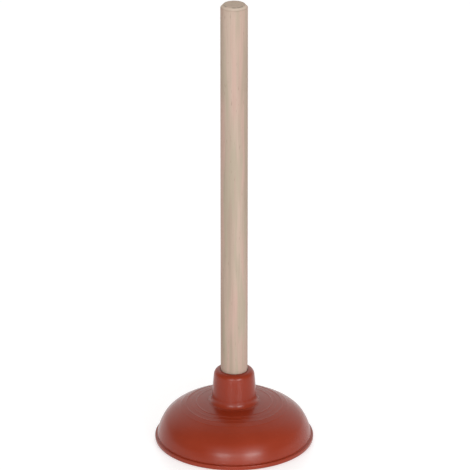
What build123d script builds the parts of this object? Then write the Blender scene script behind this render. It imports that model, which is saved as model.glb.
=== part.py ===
from build123d import *
import os

# Sink plunger: a rubber cup with a thick collar, pushed onto a turned wooden handle and
# held from inside the cup by one wood screw and a washer. Millimetres, +Z up along the
# handle. The origin is on the axis, in the plane that the cup's sealing lip rests on.
# The cup is one rubber moulding that flexes. It is cut here into the zones that move
# against each other: the lip and skirt, the wall that folds, two crown rings and the socket.

# Cup, outside. A pair is a point of the half section, as radius and height.
RIM_RADIUS = 75.0
LAND_INNER_RADIUS = 70.6
LIP_HEIGHT = 4.7
LIP_CORNER = 2.3
LIP_TOP_CORNER = 0.8
GROOVE = (72.7, 5.05)
WALL_FOOT = (72.85, 5.9)
WALL_FOOT_LEAN = (-0.2, 1)
WALL_LOWER = (69.75, 15.8)
WALL_UPPER = (60.9, 27.8)
CROWN_EDGE_RADIUS = 46.9
CROWN_EDGE_HEIGHT = 35.6
COLLAR_BASE_RADIUS = 20.9
COLLAR_BASE_HEIGHT = 39.2
CROWN_SLOPE = 0.058

# Cup, inside
INNER_CROWN_EDGE = (45.4, 31.0)
INNER_WALL_UPPER = (58.2, 24.6)
INNER_WALL_LOWER = (65.9, 14.2)
INNER_FOOT_LEAN = (0.35, -1)
BOSS_TOP_RADIUS = 19.4
BOSS_RADIUS = 17.0
BOSS_HEIGHT = 32.0
CROWN_THICKNESS = 5.0

# Concentric ridges on the crown
RIDGE_RADII = (35.5, 40.5, 45.5, 50.5)
RIDGE_HEIGHT = 0.3
RIDGE_ROUND = 2.3
SHOULDER_DROP = 0.043

# Collar and its socket
COLLAR_FILLET_WIDTH = 4.0
COLLAR_FILLET_RISE = 6.0
COLLAR_SHOULDER = (19.35, 65.6)
COLLAR_CREST_RADIUS = 13.9
COLLAR_TOP_HEIGHT = 71.7
SOCKET_MOUTH_RADIUS = 13.1
SOCKET_MOUTH_DEPTH = 1.2
SOCKET_FLOOR_HEIGHT = 37.0

# Handle
HANDLE_RADIUS = 12.7
HANDLE_LENGTH = 400.0
HANDLE_TOP_CHAMFER = 2.8
HANDLE_FOOT_RADIUS = 12.3
HANDLE_FOOT_CHAMFER = 0.8

# Fixing screw and washer
SCREW_RADIUS = 2.5
SCREW_LENGTH = 40.0
SCREW_POINT = 4.0
SCREW_HOLE_RADIUS = 2.75
SCREW_HEAD_RADIUS = 4.8
SCREW_HEAD_HEIGHT = 2.8
SCREW_HEAD_ROUND = 1.8
RECESS_LENGTH = 5.4
RECESS_WIDTH = 1.0
RECESS_DEPTH = 1.7
WASHER_RADIUS = 12.5
WASHER_THICKNESS = 1.5
WASHER_EDGE = 0.3

# How the moulding is split into zones that move
FOLD_HEIGHT = 20.0
FOLD_RADIUS = 57.0
PIVOT_HEIGHT = 35.5
OUTER_SEAT_RADIUS = 39.0
INNER_SEAT_RADIUS = 25.3
ZONE_GAP = 0.4

FAR = 200.0
OVERSHOOT = 1.0

HANDLE_TOP_HEIGHT = SOCKET_FLOOR_HEIGHT + HANDLE_LENGTH
WASHER_BOTTOM = BOSS_HEIGHT - WASHER_THICKNESS
SCREW_TIP_HEIGHT = WASHER_BOTTOM + SCREW_LENGTH


def at(radius, height):
    """A point of a half section, drawn flat with the radius along X and the height along Y."""
    return Vector(radius, height)


def turned(edges):
    """The solid that a closed half section sweeps about the axis."""
    return revolve(Plane.XZ * make_face(edges), Axis.Z)


def turned_polygon(*points):
    corners = [at(*p) for p in points]
    return turned(Polyline(*corners, close=True).edges())


def crown_height(radius):
    """Height of the crown's plain outer surface. It leaves the collar almost level, falls away
    faster towards its edge and drops off past it."""
    out = radius - COLLAR_BASE_RADIUS
    width = CROWN_EDGE_RADIUS - COLLAR_BASE_RADIUS
    bend = COLLAR_BASE_HEIGHT - CROWN_EDGE_HEIGHT - CROWN_SLOPE * width
    past_edge = max(0, radius - CROWN_EDGE_RADIUS)
    drop = CROWN_SLOPE * out + bend * (out / width) ** 2 + SHOULDER_DROP * past_edge**2
    return COLLAR_BASE_HEIGHT - drop


def on_crown(radius):
    return at(radius, crown_height(radius))


def lip_section():
    """Sealing land, rounded lip and the shallow groove above it, from inside to outside."""
    land_inner = at(LAND_INNER_RADIUS, 0)
    land_outer = at(RIM_RADIUS - LIP_CORNER, 0)
    lip_low = at(RIM_RADIUS, LIP_CORNER)
    lip_high = at(RIM_RADIUS, LIP_HEIGHT - LIP_TOP_CORNER)
    lip_top = at(RIM_RADIUS - LIP_TOP_CORNER, LIP_HEIGHT)
    groove = at(*GROOVE)
    foot = at(*WALL_FOOT)
    return [
        Line(land_inner, land_outer),
        RadiusArc(land_outer, lip_low, -LIP_CORNER),
        Line(lip_low, lip_high),
        RadiusArc(lip_high, lip_top, -LIP_TOP_CORNER),
        Line(lip_top, groove),
        Line(groove, foot),
    ], land_inner, foot


def crown_arc():
    """The crown's outside, from its edge to the collar."""
    middle_radius = (CROWN_EDGE_RADIUS + COLLAR_BASE_RADIUS) / 2
    middle = on_crown(middle_radius)
    return ThreePointArc(on_crown(CROWN_EDGE_RADIUS), middle, on_crown(COLLAR_BASE_RADIUS))


def outer_wall(foot, crown):
    """The cup's outside, from the groove over the shoulder to the crown's edge."""
    points = (foot, at(*WALL_LOWER), at(*WALL_UPPER), crown @ 0)
    return Spline(*points, tangents=(at(*WALL_FOOT_LEAN), crown % 0))


def inner_wall(boss_top, crown_edge, land_inner):
    """The cup's inside, from the crown's underside down to the sealing land."""
    points = (crown_edge, at(*INNER_WALL_UPPER), at(*INNER_WALL_LOWER), land_inner)
    crown_run = (crown_edge - boss_top).normalized()
    return Spline(*points, tangents=(crown_run, at(*INNER_FOOT_LEAN)))


def moulding_section():
    """Closed half section of the whole rubber moulding without its bore, collar and ridges."""
    lip, land_inner, foot = lip_section()
    crown = crown_arc()
    core_top = at(0, COLLAR_BASE_HEIGHT)
    core_bottom = at(0, BOSS_HEIGHT)
    boss_edge = at(BOSS_RADIUS, BOSS_HEIGHT)
    boss_top = at(BOSS_TOP_RADIUS, crown_height(BOSS_TOP_RADIUS) - CROWN_THICKNESS)
    inner_edge = at(*INNER_CROWN_EDGE)
    return lip + [
        outer_wall(foot, crown),
        crown,
        Line(crown @ 1, core_top),
        Line(core_top, core_bottom),
        Line(core_bottom, boss_edge),
        Line(boss_edge, boss_top),
        Line(boss_top, inner_edge),
        inner_wall(boss_top, inner_edge, land_inner),
    ]


def collar():
    """The tapered collar round the handle, with a fillet at its foot and a rounded top."""
    foot = on_crown(COLLAR_BASE_RADIUS + COLLAR_FILLET_WIDTH)
    side_foot = at(COLLAR_BASE_RADIUS, COLLAR_BASE_HEIGHT + COLLAR_FILLET_RISE)
    shoulder = at(*COLLAR_SHOULDER)
    crest = at(COLLAR_CREST_RADIUS, COLLAR_TOP_HEIGHT)
    top = at(0, COLLAR_TOP_HEIGHT)
    bottom = at(0, SOCKET_FLOOR_HEIGHT)
    foot_bottom = at(foot.X, SOCKET_FLOOR_HEIGHT)
    inward = Vector(-1, 0)
    side = (shoulder - side_foot).normalized()
    return turned(
        [
            Spline(foot, side_foot, tangents=(inward, side)),
            Line(side_foot, shoulder),
            Spline(shoulder, crest, tangents=(side, inward)),
            Line(crest, top),
            Line(top, bottom),
            Line(bottom, foot_bottom),
            Line(foot_bottom, foot),
        ]
    )


def ridge(radius):
    """One low round ridge, a ring mostly sunk in the crown."""
    centre = at(radius, crown_height(radius) + RIDGE_HEIGHT - RIDGE_ROUND)
    return Pos(0, 0, centre.Y) * Torus(radius, RIDGE_ROUND)


def socket_bore():
    """What is cut out for the handle and the screw: tapered bore, flared mouth and screw hole."""
    bore = turned_polygon(
        (0, SOCKET_FLOOR_HEIGHT),
        (HANDLE_FOOT_RADIUS, SOCKET_FLOOR_HEIGHT),
        (HANDLE_RADIUS, COLLAR_TOP_HEIGHT),
        (0, COLLAR_TOP_HEIGHT),
    )
    mouth = turned_polygon(
        (0, COLLAR_TOP_HEIGHT - SOCKET_MOUTH_DEPTH),
        (HANDLE_RADIUS, COLLAR_TOP_HEIGHT - SOCKET_MOUTH_DEPTH),
        (SOCKET_MOUTH_RADIUS, COLLAR_TOP_HEIGHT),
        (SOCKET_MOUTH_RADIUS, COLLAR_TOP_HEIGHT + OVERSHOOT),
        (0, COLLAR_TOP_HEIGHT + OVERSHOOT),
    )
    hole = turned_polygon(
        (0, 0),
        (SCREW_HOLE_RADIUS, 0),
        (SCREW_HOLE_RADIUS, SOCKET_FLOOR_HEIGHT),
        (0, SOCKET_FLOOR_HEIGHT),
    )
    return bore + mouth + hole


def moulding():
    """The whole rubber cup as it is moulded, in one solid."""
    body = turned(moulding_section()) + collar()
    for radius in RIDGE_RADII:
        body += ridge(radius)
    return body - socket_bore()


def ring_zone(inner_radius, outer_radius, low, high):
    return turned_polygon(
        (inner_radius, low), (outer_radius, low), (outer_radius, high), (inner_radius, high)
    )


def ball(radius):
    """A ball about the point that the handle rocks on, so that zones cut by it never collide."""
    return Pos(0, 0, PIVOT_HEIGHT) * Sphere(radius)


def cup_rim(cup):
    return cup & ring_zone(FOLD_RADIUS, FAR, -OVERSHOOT, FOLD_HEIGHT)


def cup_wall(cup):
    return cup & ring_zone(FOLD_RADIUS + ZONE_GAP, FAR, FOLD_HEIGHT, COLLAR_TOP_HEIGHT)


def cup_crown_outer(cup):
    disc = ring_zone(HANDLE_RADIUS, FOLD_RADIUS, FOLD_HEIGHT, COLLAR_BASE_HEIGHT)
    return cup & (disc - ball(OUTER_SEAT_RADIUS + ZONE_GAP))


def cup_crown_inner(cup):
    disc = ring_zone(HANDLE_RADIUS, FOLD_RADIUS, FOLD_HEIGHT, COLLAR_BASE_HEIGHT)
    return cup & (disc & ball(OUTER_SEAT_RADIUS)) - ball(INNER_SEAT_RADIUS + ZONE_GAP)


def cup_socket(cup):
    above = ring_zone(0, INNER_SEAT_RADIUS, COLLAR_BASE_HEIGHT, COLLAR_TOP_HEIGHT + OVERSHOOT)
    return cup & (ball(INNER_SEAT_RADIUS) + above)


def handle():
    """The turned rod: chamfered top edge, tapered foot inside the collar and the screw's hole."""
    top = HANDLE_TOP_HEIGHT
    rod = turned_polygon(
        (0, SOCKET_FLOOR_HEIGHT),
        (HANDLE_FOOT_RADIUS - HANDLE_FOOT_CHAMFER, SOCKET_FLOOR_HEIGHT),
        (HANDLE_FOOT_RADIUS, SOCKET_FLOOR_HEIGHT + HANDLE_FOOT_CHAMFER),
        (HANDLE_RADIUS, COLLAR_TOP_HEIGHT),
        (HANDLE_RADIUS, top - HANDLE_TOP_CHAMFER),
        (HANDLE_RADIUS - HANDLE_TOP_CHAMFER, top),
        (0, top),
    )
    hole = turned_polygon(
        (0, SOCKET_FLOOR_HEIGHT - OVERSHOOT),
        (SCREW_RADIUS, SOCKET_FLOOR_HEIGHT - OVERSHOOT),
        (SCREW_RADIUS, SCREW_TIP_HEIGHT - SCREW_POINT),
        (0, SCREW_TIP_HEIGHT),
    )
    return rod - hole


def washer():
    ring = ring_zone(SCREW_HOLE_RADIUS, WASHER_RADIUS, WASHER_BOTTOM, BOSS_HEIGHT)
    outer_edges = ring.edges().filter_by(GeomType.CIRCLE).sort_by(SortBy.RADIUS)[-2:]
    return chamfer(outer_edges, WASHER_EDGE)


def fixing_screw():
    """Pan-head wood screw, point up, with a cross recess in its head."""
    head_bottom = WASHER_BOTTOM - SCREW_HEAD_HEIGHT
    head_side = at(SCREW_HEAD_RADIUS, head_bottom + SCREW_HEAD_ROUND)
    head_flat = at(SCREW_HEAD_RADIUS - SCREW_HEAD_ROUND, head_bottom)
    shank_end = SCREW_TIP_HEIGHT - SCREW_POINT
    outline = [
        Line(at(0, head_bottom), head_flat),
        RadiusArc(head_flat, head_side, -SCREW_HEAD_ROUND),
        Line(head_side, at(SCREW_HEAD_RADIUS, WASHER_BOTTOM)),
        Line(at(SCREW_HEAD_RADIUS, WASHER_BOTTOM), at(SCREW_RADIUS, WASHER_BOTTOM)),
        Line(at(SCREW_RADIUS, WASHER_BOTTOM), at(SCREW_RADIUS, shank_end)),
        Line(at(SCREW_RADIUS, shank_end), at(0, SCREW_TIP_HEIGHT)),
        Line(at(0, SCREW_TIP_HEIGHT), at(0, head_bottom)),
    ]
    screw = turned(outline)
    blade = Box(RECESS_LENGTH, RECESS_WIDTH, 2 * RECESS_DEPTH)
    for turn in (0, 90):
        screw -= Pos(0, 0, head_bottom) * Rot(0, 0, turn) * blade
    return screw


os.makedirs("parts", exist_ok=True)
CUP = moulding()
NODES = {
    "cup_rim": cup_rim(CUP),
    "cup_wall": cup_wall(CUP),
    "cup_crown_outer": cup_crown_outer(CUP),
    "cup_crown_inner": cup_crown_inner(CUP),
    "cup_socket": cup_socket(CUP),
    "handle": handle(),
    "washer": washer(),
    "fixing_screw": fixing_screw(),
}
for name, node in NODES.items():
    export_step(node, f"parts/{name}.step")
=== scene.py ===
from math import atan2, cos, pi, radians, sin, tan

import bpy
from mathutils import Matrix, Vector, noise

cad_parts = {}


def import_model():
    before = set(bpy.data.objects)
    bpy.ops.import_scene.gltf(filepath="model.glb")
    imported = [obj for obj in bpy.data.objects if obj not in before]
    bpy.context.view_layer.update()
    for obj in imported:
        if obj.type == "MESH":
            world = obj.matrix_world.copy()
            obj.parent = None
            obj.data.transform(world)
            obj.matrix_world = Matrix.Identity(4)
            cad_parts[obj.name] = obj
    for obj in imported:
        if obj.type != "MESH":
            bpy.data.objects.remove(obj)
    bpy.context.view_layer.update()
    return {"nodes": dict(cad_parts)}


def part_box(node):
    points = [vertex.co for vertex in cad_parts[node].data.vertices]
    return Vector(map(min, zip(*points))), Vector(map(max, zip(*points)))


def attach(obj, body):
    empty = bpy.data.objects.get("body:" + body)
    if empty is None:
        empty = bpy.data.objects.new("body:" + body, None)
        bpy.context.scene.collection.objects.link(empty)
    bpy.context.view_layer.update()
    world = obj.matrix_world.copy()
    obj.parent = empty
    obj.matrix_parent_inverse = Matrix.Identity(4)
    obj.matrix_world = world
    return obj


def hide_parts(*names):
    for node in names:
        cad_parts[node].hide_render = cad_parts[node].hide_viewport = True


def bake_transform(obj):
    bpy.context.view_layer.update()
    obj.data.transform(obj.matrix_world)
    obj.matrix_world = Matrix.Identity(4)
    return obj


# Sink plunger: a terracotta rubber cup with a thick collar, on a bare wooden handle.
# Sections are drawn in millimetres as (radius, height) and turned about the Z axis.

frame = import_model()
MM = 0.001

# Sizes that the frame gives
RIM_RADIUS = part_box("cup_rim")[1].x / MM
FOLD_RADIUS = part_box("cup_crown_outer")[1].x / MM
OUTER_SEAT_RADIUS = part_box("cup_crown_inner")[1].x / MM
BOSS_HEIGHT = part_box("cup_socket")[0].z / MM
COLLAR_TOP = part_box("cup_socket")[1].z / MM
HANDLE_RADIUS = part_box("handle")[1].x / MM
SOCKET_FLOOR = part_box("handle")[0].z / MM
HANDLE_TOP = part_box("handle")[1].z / MM

# Cup, outside: lip, wall and crown
LIP_CORNER = 2.3
LIP_HEIGHT = 4.7
LIP_TOP_CORNER = 0.8
LAND_INNER_RADIUS = 70.6
LAND_INNER_CORNER = 0.5
GROOVE = (72.7, 5.05)
GROOVE_ROUND = 0.35
WALL = [(72.85, 5.9), (71.95, 9.6), (69.75, 15.8), (65.9, 22.7), (60.9, 27.8), (54.8, 31.9)]
WALL_FOOT_RUN = (-0.7, 3.7)
CROWN_EDGE_RUN = 8
CROWN_EDGE = (46.9, 35.6)
COLLAR_BASE = (20.9, 39.2)
CROWN_SLOPE = 0.058
RIDGE_RADII = (35.5, 40.5, 45.5, 50.5)
RIDGE_HEIGHTS = (0.26, 0.13, 0.26, 0.14)
RIDGE_HALF_WIDTH = 0.85
WALL_THICKNESS = 4.0
CROWN_THICKNESS = 5.0
THICKENS_FROM = 15
THICKENS_OVER = 25

# Collar. It meets the crown in a flare, a quarter of an ellipse that is sunk a little in the
# crown. COLLAR_REACH is how far the piece goes on along the crown past the collar's side.
COLLAR_REACH = 4.0
FLARE_WIDTH = 5.0
FLARE_RISE = 8.0
FLARE_SINK = 1.0
CREASE_ROUND = 0.9
SHOULDER = (19.35, COLLAR_TOP - 6.1)
SHOULDER_PULL = 3.8
CREST = (13.9, COLLAR_TOP)
CREST_PULL = 3.4
MOUTH_RADIUS = HANDLE_RADIUS + 0.35
MOUTH_DEPTH = 2.0
MOUTH_ROUND = 0.4
MOUTH_CONE = 0.6
BORE_ROUNDS = (0.1, 0.2, 0.2, 0.2, 0.3)
SCREW_HOLE_RADIUS = 2.75
BOSS_RADIUS = 17.0
BOSS_TOP_RADIUS = 19.4
BOSS_CORNER = 0.8
BOSS_FILLET = 1.0

# Handle. OUT_OF_ROUND and END_FRAY are how far its surface strays.
TOP_CHAMFER = 2.8
CHAMFER_ROUND = 1.0
FOOT_CHAMFER = 0.8
FOOT_ROUND = 0.2
FIT_GAP = 0.06
OUT_OF_ROUND = 0.06
END_FRAY = 0.10

# How finely the surfaces are cut: numbers of steps, and lengths along a section. A seam is
# where two pieces of the cup meet.
TURN_STEPS = 192
HANDLE_TURN_STEPS = 128
WALL_STEPS = 24
CROWN_STEPS = 80
FLARE_STEPS = 30
ROUND_TOP_STEPS = 16
PLAIN_STEP = 0.7
RIDGE_STEP = 0.18
RIDGE_MARGIN = 0.3
SEAM_STEP = 0.1
SEAM_CLEAR = 0.12
NORMAL_REACH = 0.6
LIP_STEP = 0.8
COLLAR_SIDE_STEP = 0.9
BORE_STEP = 1.2
ROD_STEP = 6.0
ROD_END_STEP = 0.5

# Colours
RUBBER_DARK = (0.245, 0.0255, 0.008, 1)
RUBBER_LIGHT = (0.272, 0.031, 0.011, 1)
RUBBER_DUST = (0.33, 0.06, 0.03, 1)
WOOD_DARK = (0.36, 0.28, 0.22, 1)
WOOD_LIGHT = (0.45, 0.35, 0.285, 1)
WOOD_PINK = (0.475, 0.325, 0.275, 1)
WOOD_GREEN = (0.365, 0.32, 0.24, 1)
WOOD_FIBRE = (0.28, 0.22, 0.18, 1)
WOOD_PORE = (0.24, 0.17, 0.13, 1)
WOOD_END_PAINTED_LIGHT = (0.76, 0.65, 0.55, 1)
WOOD_DIRT = (0.2, 0.17, 0.14, 1)
ZINC_DARK = (0.5, 0.5, 0.52, 1)
ZINC_LIGHT = (0.68, 0.68, 0.66, 1)
FLOOR_COLOUR = (0.6, 0.63, 0.67, 1)
FLOOR_GLOW = 0.55
FLOOR_HALF_SIZE = 14.0

# Surface relief, in metres, and the width in millimetres of the dirt at the handle's sawn edge
RUBBER_RELIEF = 0.0003
WOOD_RELIEF = 0.0002
ZINC_RELIEF = 0.0002
EDGE_DIRT_WIDTH = 0.9

# Camera, in metres, with its angle below the horizon in degrees
CAMERA_LENS = 369.0
CAMERA_PLACE = (0.0008, -4.1509, 1.9331)
CAMERA_DOWN = 22.565

# Light, as azimuth, elevation, width and height in degrees and radiance
WINDOW_DISTANCE = 1.9
WINDOWS = {
    "left_window": (-17, 16.5, 20, 8.5, 8.0),
    "middle_window": (5, 16, 60, 9, 2.6),
    "right_window": (28, 16.5, 20, 9, 13.5),
}

# The studio's walls: their own colour, and the light on them. HORIZON is the sine of the
# elevation where the bright band ends and where it is full, and its radiance at each. GLOWS are
# azimuth, elevation, outer and inner angle in degrees, radiance, and how a glow joins the rest:
# the backdrop's is no brighter where it meets the horizon, the windows' add to it.
STUDIO_COLOUR = (0.4, 0.34, 0.28, 1)
LIGHT_COLOUR = (0.88, 0.94, 1.0, 1)
HORIZON = (0.14, 0.05, 0.0, 0.72)
GLOWS = [
    (180, 20, 75, 25, 0.72, "MAXIMUM"),
    (-17, 17, 30, 4, 0.7, "ADD"),
    (28, 17, 30, 4, 0.9, "ADD"),
]


# ---------------------------------------------------------------- sections

def lerp(a, b, t):
    return a + (b - a) * t


def smooth(t):
    t = min(max(t, 0.0), 1.0)
    return t * t * (3 - 2 * t)


def through(points, steps, first=None, last=None):
    """A smooth line through points, a Catmull-Rom curve; first and last are its end directions."""
    ahead = [Vector(p) for p in points]
    start = ahead[0] - Vector(first) if first else ahead[0] * 2 - ahead[1]
    end = ahead[-1] + Vector(last) if last else ahead[-1] * 2 - ahead[-2]
    ctrl = [start] + ahead + [end]
    line = []
    for i in range(1, len(ctrl) - 2):
        p0, p1, p2, p3 = ctrl[i - 1 : i + 3]
        for k in range(steps):
            t = k / steps
            a = 2 * p1 + (p2 - p0) * t
            b = (2 * p0 - 5 * p1 + 4 * p2 - p3) * t * t
            c = (3 * p1 - p0 - 3 * p2 + p3) * t**3
            line.append((a + b + c) / 2)
    return line + [ahead[-1]]


def rounded(points, radii, steps=6):
    """Straight runs between points, with each inner corner rounded to its radius."""
    line = [Vector(points[0])]
    for i in range(1, len(points) - 1):
        corner = Vector(points[i])
        back = (Vector(points[i - 1]) - corner).normalized()
        on = (Vector(points[i + 1]) - corner).normalized()
        radius = radii[i - 1]
        if radius <= 0:
            line.append(corner)
            continue
        half = back.angle(on) / 2
        reach = radius / tan(half)
        centre = corner + (back + on).normalized() * (radius / sin(half))
        a = corner + back * reach - centre
        b = corner + on * reach - centre
        turn = atan2(a.x * b.y - a.y * b.x, a.dot(b))
        for k in range(steps + 1):
            angle = turn * k / steps
            x = a.x * cos(angle) - a.y * sin(angle)
            y = a.x * sin(angle) + a.y * cos(angle)
            line.append(centre + Vector((x, y)))
    return line + [Vector(points[-1])]


def bezier(a, b, c, d, steps):
    """A cubic curve from a to d, without its first point."""
    line = []
    for k in range(1, steps + 1):
        t = k / steps
        u = 1 - t
        line.append(a * u**3 + b * (3 * t * u * u) + c * (3 * t * t * u) + d * t**3)
    return line


def resampled(line, step):
    """The same line with points at most step apart."""
    out = [line[0]]
    for a, b in zip(line, line[1:]):
        parts = max(1, round((b - a).length / step))
        out += [a.lerp(b, (k + 1) / parts) for k in range(parts)]
    return out


def crown_height(radius):
    """The crown leaves the collar almost level and falls away faster towards its edge."""
    out = radius - COLLAR_BASE[0]
    width = CROWN_EDGE[0] - COLLAR_BASE[0]
    drop = COLLAR_BASE[1] - CROWN_EDGE[1]
    return COLLAR_BASE[1] - CROWN_SLOPE * out - (drop - CROWN_SLOPE * width) * (out / width) ** 2


def ridge_lift(radius):
    """How far the concentric ridges lift the crown at a radius."""
    lift = 0.0
    for centre, height in zip(RIDGE_RADII, RIDGE_HEIGHTS):
        off = abs(radius - centre) / RIDGE_HALF_WIDTH
        if off < 1:
            lift += height * (0.5 + 0.5 * cos(pi * off))
    return lift


# ---------------------------------------------------------------- the cup's rubber wall

def wall_stations():
    """Stations along the cup's wall, from its foot to the collar's piece, and the lengths of the
    three seams. A station is its length along the wall, its plain radius and its outer and
    inner point. Stations stand closer at a ridge, and at both sides of a seam."""
    end_radius = COLLAR_BASE[0] + COLLAR_REACH
    crown = []
    for k in range(CROWN_STEPS + 1):
        radius = lerp(CROWN_EDGE[0], end_radius, k / CROWN_STEPS)
        crown.append(Vector((radius, crown_height(radius))))
    last = (crown[1] - crown[0]).normalized() * CROWN_EDGE_RUN
    wall = through(WALL + [CROWN_EDGE], WALL_STEPS, first=WALL_FOOT_RUN, last=last)
    plain = wall + crown[1:]
    cuts = [FOLD_RADIUS, OUTER_SEAT_RADIUS, end_radius]
    lengths = [0.0]
    for a, b in zip(plain, plain[1:]):
        lengths.append(lengths[-1] + (b - a).length)

    def at_length(s):
        i = max(k for k in range(len(lengths) - 1) if lengths[k] <= s + 1e-9)
        t = (s - lengths[i]) / (lengths[i + 1] - lengths[i])
        return plain[i].lerp(plain[i + 1], t)

    def length_at_radius(radius):
        for i, (a, b) in enumerate(zip(plain, plain[1:])):
            if a.x >= radius >= b.x and a.x > b.x:
                return lerp(lengths[i], lengths[i + 1], (a.x - radius) / (a.x - b.x))
        return lengths[-1]

    cut_lengths = [length_at_radius(r) for r in cuts]
    marks = {0.0}
    s = 0.0
    while s < cut_lengths[-1]:
        to_ridge = min(abs(at_length(s).x - r) for r in RIDGE_RADII)
        s += RIDGE_STEP if to_ridge < RIDGE_HALF_WIDTH + RIDGE_MARGIN else PLAIN_STEP
        marks.add(min(s, cut_lengths[-1]))
    marks = [m for m in marks if all(abs(m - c) > SEAM_CLEAR for c in cut_lengths)]
    for c in cut_lengths:
        marks += [c - SEAM_STEP, c] + ([c + SEAM_STEP] if c < cut_lengths[-1] else [])
    stations = []
    for s in sorted(marks):
        point = at_length(s)
        before = at_length(max(s - NORMAL_REACH, 0.0))
        after = at_length(min(s + NORMAL_REACH, cut_lengths[-1]))
        run = (after - before).normalized()
        normal = Vector((run.y, -run.x))
        thick = lerp(WALL_THICKNESS, CROWN_THICKNESS, smooth((s - THICKENS_FROM) / THICKENS_OVER))
        stations.append(
            {
                "s": s,
                "radius": point.x,
                "outer": point + normal * ridge_lift(point.x),
                "inner": point - normal * thick,
            }
        )
    return stations, cut_lengths


def lip_section(foot, inner_foot):
    """From the wall's foot over groove and lip, and across the sealing land to the inside."""
    groove = Vector(GROOVE)
    corners = [
        foot,
        groove,
        (RIM_RADIUS, LIP_HEIGHT),
        (RIM_RADIUS, 0),
        (LAND_INNER_RADIUS, 0),
        inner_foot,
    ]
    radii = [GROOVE_ROUND, LIP_TOP_CORNER, LIP_CORNER, LAND_INNER_CORNER]
    return resampled(rounded(corners, radii), LIP_STEP)


# ---------------------------------------------------------------- meshes

def new_object(name, vertices, faces, flat=()):
    """A mesh object. flat holds the faces, by index, that aren't shaded smooth."""
    mesh = bpy.data.meshes.new(name)
    mesh.from_pydata(vertices, [], faces)
    mesh.polygons.foreach_set("use_smooth", [i not in flat for i in range(len(faces))])
    mesh.validate()
    mesh.update()
    piece = bpy.data.objects.new(name, mesh)
    bpy.context.scene.collection.objects.link(piece)
    return piece


def turned(name, section, closed, flat_runs=(), steps=TURN_STEPS, shape=None):
    """Turns a section about Z. A point on the axis becomes one vertex. flat_runs are the runs
    of the section, by index, that meet their neighbours at a sharp edge."""
    vertices, rings = [], []
    for i, point in enumerate(section):
        if point[0] < 1e-6:
            rings.append([len(vertices)] * steps)
            vertices.append((0.0, 0.0, point[1] * MM))
            continue
        rings.append(list(range(len(vertices), len(vertices) + steps)))
        for k in range(steps):
            angle = 2 * pi * k / steps
            radius, height = shape(i, angle, point) if shape else point
            vertices.append((radius * cos(angle) * MM, radius * sin(angle) * MM, height * MM))
    faces, flat = [], set()
    runs = len(section) if closed else len(section) - 1
    for i in range(runs):
        a, b = rings[i], rings[(i + 1) % len(section)]
        for k in range(steps):
            m = (k + 1) % steps
            quad = [a[k], b[k], b[m], a[m]]
            face = [v for j, v in enumerate(quad) if v not in quad[:j]]
            if len(face) > 2:
                if i in flat_runs:
                    flat.add(len(faces))
                faces.append(face)
    return new_object(name, vertices, faces, flat)


def blend_along(piece, order, body_a, body_b):
    """Sets each vertex's height to its share in order, a share from 0 to 1 for each vertex, bakes
    the piece's transform into its mesh and puts the vertices back. body_a and body_b are not used."""
    vertices = piece.data.vertices
    rest = [v.co.copy() for v in vertices]
    for vertex, share in zip(vertices, order):
        vertex.co = (0, 0, share)
    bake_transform(piece)
    for vertex, place in zip(vertices, rest):
        vertex.co = place
    piece.data.update()
    return piece


def per_vertex(shares):
    """The share of each point of a section, repeated for the vertices that it is turned into."""
    return [share for share in shares for k in range(TURN_STEPS)]


def cup_skirt(stations, fold_length):
    """Lip, skirt and folding wall, one closed ring of rubber up to the fold radius."""
    part = [st for st in stations if st["s"] <= fold_length + 1e-6]
    lip = lip_section(part[0]["outer"], part[0]["inner"])
    inner = [st["inner"] for st in part[1:]]
    outer = [st["outer"] for st in part[1:]]
    section = lip + inner + outer[::-1]
    up = [st["s"] / fold_length for st in part[1:]]
    shares = [0.0] * len(lip) + up + up[::-1]
    cut = len(lip) + len(inner) - 1
    piece = turned("cup_skirt", section, closed=True, flat_runs=(cut,))
    blend_along(piece, per_vertex(shares), "rim", "crown")
    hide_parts("cup_rim", "cup_wall")
    return piece


def crown_ring(name, stations, seams, bodies, node):
    """One ring of the crown between two seams along the wall. Its vertices get shares by radius.
    """
    start, end = seams
    part = [st for st in stations if start - 1e-6 <= st["s"] <= end + 1e-6]
    inner = [st["inner"] for st in part]
    outer = [st["outer"] for st in part]
    section = inner + outer[::-1]
    wide, narrow = part[0]["radius"], part[-1]["radius"]
    inward = [(wide - st["radius"]) / (wide - narrow) for st in part]
    shares = inward + inward[::-1]
    walls = (len(inner) - 1, len(section) - 1)
    piece = turned(name, section, closed=True, flat_runs=walls)
    blend_along(piece, per_vertex(shares), *bodies)
    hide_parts(node)
    return piece


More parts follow.
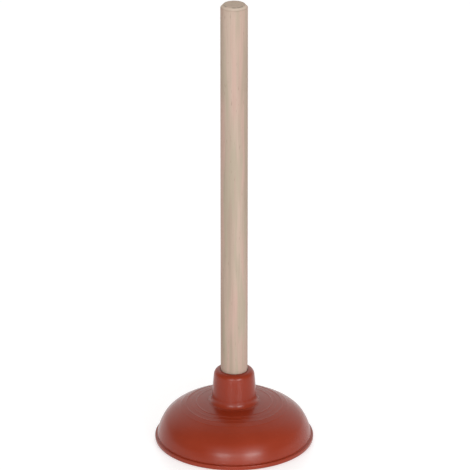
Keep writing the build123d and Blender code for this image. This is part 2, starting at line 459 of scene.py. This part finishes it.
def cup_collar(stations):
    """Collar, floor of the socket and boss, which move with the handle."""
    top, under = stations[-1]["outer"], stations[-1]["inner"]
    before = stations[-5]["inner"]
    slope = (under.y - before.y) / (under.x - before.x)
    boss_foot = (BOSS_TOP_RADIUS, under.y + slope * (BOSS_TOP_RADIUS - under.x))
    centre = Vector((COLLAR_BASE[0] + FLARE_WIDTH, COLLAR_BASE[1] + FLARE_RISE - FLARE_SINK))
    flare = []
    for k in range(FLARE_STEPS + 1):
        angle = pi / 2 * (1 + k / FLARE_STEPS)
        point = centre + Vector((cos(angle) * FLARE_WIDTH, -sin(angle) * FLARE_RISE))
        if point.y > crown_height(point.x):
            flare.append(point)
    crease = (flare[0].x, crown_height(flare[0].x))
    foot = rounded([top, crease, flare[1]], [CREASE_ROUND]) + flare[2:]
    shoulder, crest = Vector(SHOULDER), Vector(CREST)
    run = (shoulder - foot[-1]).normalized()
    side = resampled([foot[-1], shoulder], COLLAR_SIDE_STEP)[1:]
    leave = shoulder + run * SHOULDER_PULL
    arrive = crest + Vector((CREST_PULL, 0.0))
    round_top = bezier(shoulder, leave, arrive, crest, ROUND_TOP_STEPS)
    mouth = rounded(
        [
            crest,
            (MOUTH_RADIUS, CREST[1]),
            (MOUTH_RADIUS, COLLAR_TOP - MOUTH_DEPTH),
            (HANDLE_RADIUS + FIT_GAP, COLLAR_TOP - MOUTH_DEPTH - MOUTH_CONE),
            (HANDLE_RADIUS + FIT_GAP, SOCKET_FLOOR),
            (SCREW_HOLE_RADIUS, SOCKET_FLOOR),
            (SCREW_HOLE_RADIUS, BOSS_HEIGHT),
            (BOSS_RADIUS, BOSS_HEIGHT),
            boss_foot,
            under,
        ],
        [MOUTH_ROUND, *BORE_ROUNDS, BOSS_CORNER, BOSS_FILLET],
    )[1:]
    section = foot + side + round_top + resampled(mouth, BORE_STEP)
    section = section[::-1]
    piece = turned("cup_collar", section, closed=True, flat_runs=(len(section) - 1,))
    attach(piece, "grip")
    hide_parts("cup_socket")
    return piece


# ---------------------------------------------------------------- handle

def handle_section():
    """The rod from its foot in the socket to the middle of its top face."""
    rim = HANDLE_RADIUS - TOP_CHAMFER
    return rounded(
        [
            (0, SOCKET_FLOOR + FIT_GAP),
            (HANDLE_RADIUS - FOOT_CHAMFER, SOCKET_FLOOR + FIT_GAP),
            (HANDLE_RADIUS, SOCKET_FLOOR + FOOT_CHAMFER),
            (HANDLE_RADIUS, HANDLE_TOP - TOP_CHAMFER),
            (rim, HANDLE_TOP),
            (0, HANDLE_TOP),
        ],
        [FOOT_ROUND, FOOT_ROUND, CHAMFER_ROUND, CHAMFER_ROUND],
        steps=4,
    )


def handle_rod():
    line = handle_section()
    head_start = HANDLE_TOP - TOP_CHAMFER - CHAMFER_ROUND
    body = [p for p in line if p.y < head_start]
    head = [p for p in line if p.y >= head_start]
    section = resampled(body + head[:1], ROD_STEP) + resampled(head, ROD_END_STEP)[1:]

    def worn(i, angle, point):
        """A turned rod is never quite round or straight, and its sawn end is never quite flat.
        The fault in its roundness changes slowly along it. The fray starts below the chamfer."""
        radius, height = point
        around = Vector((cos(angle) * 1.2, sin(angle) * 1.2, height * 0.012))
        radius += OUT_OF_ROUND * noise.noise(around * 1.5) * smooth(radius / HANDLE_RADIUS)
        top = smooth((height - (HANDLE_TOP - TOP_CHAMFER - 0.6)) / 0.8)
        place = Vector((radius * cos(angle) * 0.5, radius * sin(angle) * 0.5, height * 0.4))
        fray = noise.noise(place) + 0.5 * noise.noise(place * 2.7)
        radius += END_FRAY * fray * top * smooth((radius - 8) / 2)
        height -= END_FRAY * (0.5 + 0.5 * fray) * top
        return radius, height

    piece = turned("handle_rod", section, closed=False, steps=HANDLE_TURN_STEPS, shape=worn)
    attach(piece, "grip")
    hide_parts("handle")
    return piece


# ---------------------------------------------------------------- materials

class Nodes:
    """A material's node tree, with short calls for the nodes that are used."""

    def __init__(self, name, **sockets):
        self.material = bpy.data.materials.new(name)
        self.material.use_nodes = True
        self.tree = self.material.node_tree
        self.shader = self.tree.nodes["Principled BSDF"]
        for socket, value in sockets.items():
            self.shader.inputs[socket.replace("_", " ")].default_value = value

    def node(self, kind, inputs=(), **settings):
        made = self.tree.nodes.new(kind)
        for key, value in settings.items():
            setattr(made, key, value)
        for key, value in dict(inputs).items():
            if isinstance(value, bpy.types.NodeSocket):
                self.tree.links.new(value, made.inputs[key])
            else:
                made.inputs[key].default_value = value
        return made

    def place(self, scale=(1, 1, 1)):
        coords = self.node("ShaderNodeTexCoord").outputs["Object"]
        return self.node("ShaderNodeMapping", {"Vector": coords, "Scale": scale}).outputs[0]

    def noise(self, vector, scale, detail=4.0, roughness=0.5, distortion=0.0):
        inputs = {
            "Vector": vector,
            "Scale": scale,
            "Detail": detail,
            "Roughness": roughness,
            "Distortion": distortion,
        }
        return self.node("ShaderNodeTexNoise", inputs).outputs["Fac"]

    def ramp(self, value, low, high, to_low=0.0, to_high=1.0):
        inputs = {0: value, 1: low, 2: high, 3: to_low, 4: to_high}
        return self.node("ShaderNodeMapRange", inputs).outputs[0]

    def math(self, operation, a, b=0.0):
        return self.node("ShaderNodeMath", {0: a, 1: b}, operation=operation).outputs[0]

    def mix(self, factor, a, b):
        made = self.tree.nodes.new("ShaderNodeMix")
        made.data_type = "RGBA"
        for socket, value in zip((made.inputs[0], made.inputs[6], made.inputs[7]), (factor, a, b)):
            if isinstance(value, bpy.types.NodeSocket):
                self.tree.links.new(value, socket)
            else:
                socket.default_value = value
        return made.outputs[2]

    def bump(self, height, strength, distance):
        inputs = {"Height": height, "Strength": strength, "Distance": distance}
        return self.node("ShaderNodeBump", inputs).outputs[0]

    def out(self, socket, value):
        self.tree.links.new(value, self.shader.inputs[socket])


def rubber():
    n = Nodes("terracotta_rubber", IOR=1.37)
    place = n.place()
    cloud = n.noise(place, 22, detail=3)
    grain = n.noise(place, 900, detail=2)
    tone = n.mix(n.ramp(cloud, 0.35, 0.65), RUBBER_DARK, RUBBER_LIGHT)
    dust = n.ramp(n.noise(place, 1500, detail=1), 0.66, 0.8, 0.0, 0.35)
    n.out("Base Color", n.mix(dust, tone, RUBBER_DUST))
    rough = n.math("ADD", cloud, n.math("MULTIPLY", grain, 0.3))
    n.out("Roughness", n.ramp(rough, 0.4, 0.9, 0.22, 0.28))
    n.out("Normal", n.bump(grain, 0.12, RUBBER_RELIEF))
    return n.material


def wood():
    """Pale beech: broad pink and grey-green bands along the grain, short pores, and a sawn end
    whose edge and cracks hold dirt. A place that is squeezed along Z gives a long grain."""
    n = Nodes("bare_wood", IOR=1.45, Specular_IOR_Level=0.3)
    broad = n.noise(n.place((1, 1, 0.05)), 95, detail=1, distortion=0.4)
    green = n.noise(n.place((1, 1, 0.07)), 210, detail=1)
    pink = n.noise(n.place((1, 1, 0.09)), 135, detail=1)
    fine = n.noise(n.place((1, 1, 0.03)), 800, detail=3, roughness=0.6)
    tone = n.mix(n.ramp(broad, 0.35, 0.65), WOOD_DARK, WOOD_LIGHT)
    tone = n.mix(n.ramp(pink, 0.46, 0.6, 0.0, 0.75), tone, WOOD_PINK)
    tone = n.mix(n.ramp(green, 0.5, 0.64, 0.0, 0.6), tone, WOOD_GREEN)
    tone = n.mix(n.ramp(fine, 0.5, 0.75, 0.0, 0.25), tone, WOOD_FIBRE)
    pores = n.ramp(n.noise(n.place((1, 1, 0.12)), 1100, detail=1), 0.69, 0.77, 0.0, 0.5)
    tone = n.mix(pores, tone, WOOD_PORE)

    # The sawn end and its chamfer: painted paler, painted light in place of the light they lack
    # from above; with cracks and a dirty edge
    split = n.node("ShaderNodeSeparateXYZ", {0: n.place()})
    height = split.outputs["Z"]
    across = n.node("ShaderNodeCombineXYZ", {0: split.outputs["X"], 1: split.outputs["Y"]})
    radius = n.node("ShaderNodeVectorMath", {0: across.outputs[0]}, operation="LENGTH")
    radius = radius.outputs["Value"]
    chamfer_low = HANDLE_TOP - TOP_CHAMFER
    cut = n.ramp(height, chamfer_low * MM, (chamfer_low + 1) * MM)
    # painted light: the end face and chamfer are mixed 0.6 of the way to a pale colour
    tone = n.mix(n.math("MULTIPLY", cut, 0.6), tone, WOOD_END_PAINTED_LIGHT)
    rings = n.node(
        "ShaderNodeTexWave",
        {"Vector": n.place(), "Scale": 190, "Distortion": 5, "Detail": 3, "Detail Scale": 1.6},
        wave_type="BANDS",
        bands_direction="DIAGONAL",
    ).outputs["Fac"]
    cracked = n.ramp(n.noise(n.place(), 260), 0.45, 0.6)
    cracks = n.math("MULTIPLY", n.ramp(rings, 0.06, 0.0), cracked)
    off_edge = n.math("ABSOLUTE", n.math("SUBTRACT", radius, (HANDLE_RADIUS - TOP_CHAMFER) * MM))
    worn = n.ramp(n.noise(n.place(), 330, detail=2), 0.42, 0.6, 0.1, 0.9)
    edge = n.math("MULTIPLY", n.ramp(off_edge, EDGE_DIRT_WIDTH * MM, 0.0), worn)
    dirt = n.math("MULTIPLY", n.math("MAXIMUM", n.math("MULTIPLY", cracks, 0.8), edge), cut)
    n.out("Base Color", n.mix(dirt, tone, WOOD_DIRT))
    n.out("Roughness", n.ramp(fine, 0.3, 0.7, 0.62, 0.78))
    fibre = n.math("SUBTRACT", fine, n.math("MULTIPLY", pores, 0.8))
    n.out("Normal", n.bump(n.math("SUBTRACT", fibre, dirt), 0.35, WOOD_RELIEF))
    return n.material


def zinc():
    n = Nodes("zinc_plate", Metallic=1.0)
    place = n.place()
    cloud = n.noise(place, 240, detail=3)
    n.out("Base Color", n.mix(cloud, ZINC_DARK, ZINC_LIGHT))
    n.out("Roughness", n.ramp(cloud, 0.3, 0.7, 0.25, 0.42))
    n.out("Normal", n.bump(n.noise(place, 2600, detail=2), 0.1, ZINC_RELIEF))
    return n.material


def paint(piece, material):
    piece.data.materials.clear()
    piece.data.materials.append(material)


# ---------------------------------------------------------------- room

def floor():
    n = Nodes("pale_floor", Base_Color=FLOOR_COLOUR, Roughness=0.36)
    n.shader.inputs["Emission Color"].default_value = (1, 1, 1, 1)
    n.shader.inputs["Emission Strength"].default_value = FLOOR_GLOW
    size = FLOOR_HALF_SIZE
    corners = [(-size, -size, 0), (size, -size, 0), (size, size, 0), (-size, size, 0)]
    made = new_object("floor", corners, [(0, 1, 2, 3)])
    made.data.materials.append(n.material)


def towards(azimuth, elevation):
    """The direction in which a light stands. Azimuth 0 is the camera's side."""
    a, e = radians(azimuth), radians(elevation)
    return Vector((sin(a) * cos(e), -cos(a) * cos(e), sin(e)))


def window(name, azimuth, elevation, width, height, radiance):
    """A softbox that faces the object, with its size given as seen from there, in degrees.
    Its energy is what gives a flat light of this size that radiance."""
    light = bpy.data.lights.new(name, "AREA")
    light.shape = "RECTANGLE"
    light.size = WINDOW_DISTANCE * radians(width)
    light.size_y = WINDOW_DISTANCE * radians(height)
    light.energy = radiance * pi * light.size * light.size_y
    made = bpy.data.objects.new(name, light)
    way = towards(azimuth, elevation)
    made.location = way * WINDOW_DISTANCE
    made.rotation_euler = (-way).to_track_quat("-Z", "Y").to_euler()
    bpy.context.scene.collection.objects.link(made)


def world():
    """A dim studio with a bright backdrop behind the object and a glow round each window."""
    made = bpy.data.worlds.new("studio")
    made.use_nodes = True
    tree = made.node_tree
    way = tree.nodes.new("ShaderNodeTexCoord").outputs["Generated"]
    split = tree.nodes.new("ShaderNodeSeparateXYZ")
    tree.links.new(way, split.inputs[0])
    total = tree.nodes.new("ShaderNodeMapRange")
    total.interpolation_type = "SMOOTHSTEP"
    tree.links.new(split.outputs["Z"], total.inputs["Value"])
    for socket, value in zip(("From Min", "From Max", "To Min", "To Max"), HORIZON):
        total.inputs[socket].default_value = value
    for azimuth, elevation, wide, narrow, radiance, joins in GLOWS:
        share = tree.nodes.new("ShaderNodeVectorMath")
        share.operation = "DOT_PRODUCT"
        tree.links.new(way, share.inputs[0])
        share.inputs[1].default_value = towards(azimuth, elevation)
        glow = tree.nodes.new("ShaderNodeMapRange")
        glow.interpolation_type = "SMOOTHSTEP"
        tree.links.new(share.outputs["Value"], glow.inputs["Value"])
        glow.inputs["From Min"].default_value = cos(radians(wide))
        glow.inputs["From Max"].default_value = cos(radians(narrow))
        glow.inputs["To Max"].default_value = radiance
        joined = tree.nodes.new("ShaderNodeMath")
        joined.operation = joins
        tree.links.new(total.outputs[0], joined.inputs[0])
        tree.links.new(glow.outputs[0], joined.inputs[1])
        total = joined
    walls = tree.nodes["Background"]
    lit = tree.nodes.new("ShaderNodeBackground")
    both = tree.nodes.new("ShaderNodeAddShader")
    walls.inputs["Color"].default_value = STUDIO_COLOUR
    lit.inputs["Color"].default_value = LIGHT_COLOUR
    tree.links.new(total.outputs[0], lit.inputs["Strength"])
    tree.links.new(walls.outputs[0], both.inputs[0])
    tree.links.new(lit.outputs[0], both.inputs[1])
    tree.links.new(both.outputs[0], tree.nodes["World Output"].inputs["Surface"])
    bpy.context.scene.world = made


def camera():
    """A long lens from far away, a little above, as a catalogue picture is taken."""
    made = bpy.data.cameras.new("camera")
    made.lens = CAMERA_LENS
    made.sensor_width = 36.0
    made.clip_start = 0.1
    made.clip_end = 60.0
    holder = bpy.data.objects.new("camera", made)
    holder.location = CAMERA_PLACE
    x, y, z = CAMERA_PLACE
    way = Vector((x, 0, z + y * tan(radians(CAMERA_DOWN)))) - holder.location
    holder.rotation_euler = way.to_track_quat("-Z", "Y").to_euler()
    bpy.context.scene.collection.objects.link(holder)
    bpy.context.scene.camera = holder


# ---------------------------------------------------------------- assembly

RUBBER, WOOD, ZINC = rubber(), wood(), zinc()
stations, (fold, outer_seat, reach) = wall_stations()
rubber_pieces = [
    cup_skirt(stations, fold),
    crown_ring(
        "cup_crown", stations, (fold, outer_seat), ("crown", "rocker"), "cup_crown_outer"
    ),
    crown_ring(
        "cup_crown_centre", stations, (outer_seat, reach), ("rocker", "grip"), "cup_crown_inner"
    ),
    cup_collar(stations),
]
for piece in rubber_pieces:
    paint(piece, RUBBER)
paint(handle_rod(), WOOD)
for node in ("washer", "fixing_screw"):
    paint(frame["nodes"][node], ZINC)

floor()
world()
for name, place in WINDOWS.items():
    window(name, *place)
camera()
bpy.context.scene.view_settings.view_transform = "Standard"
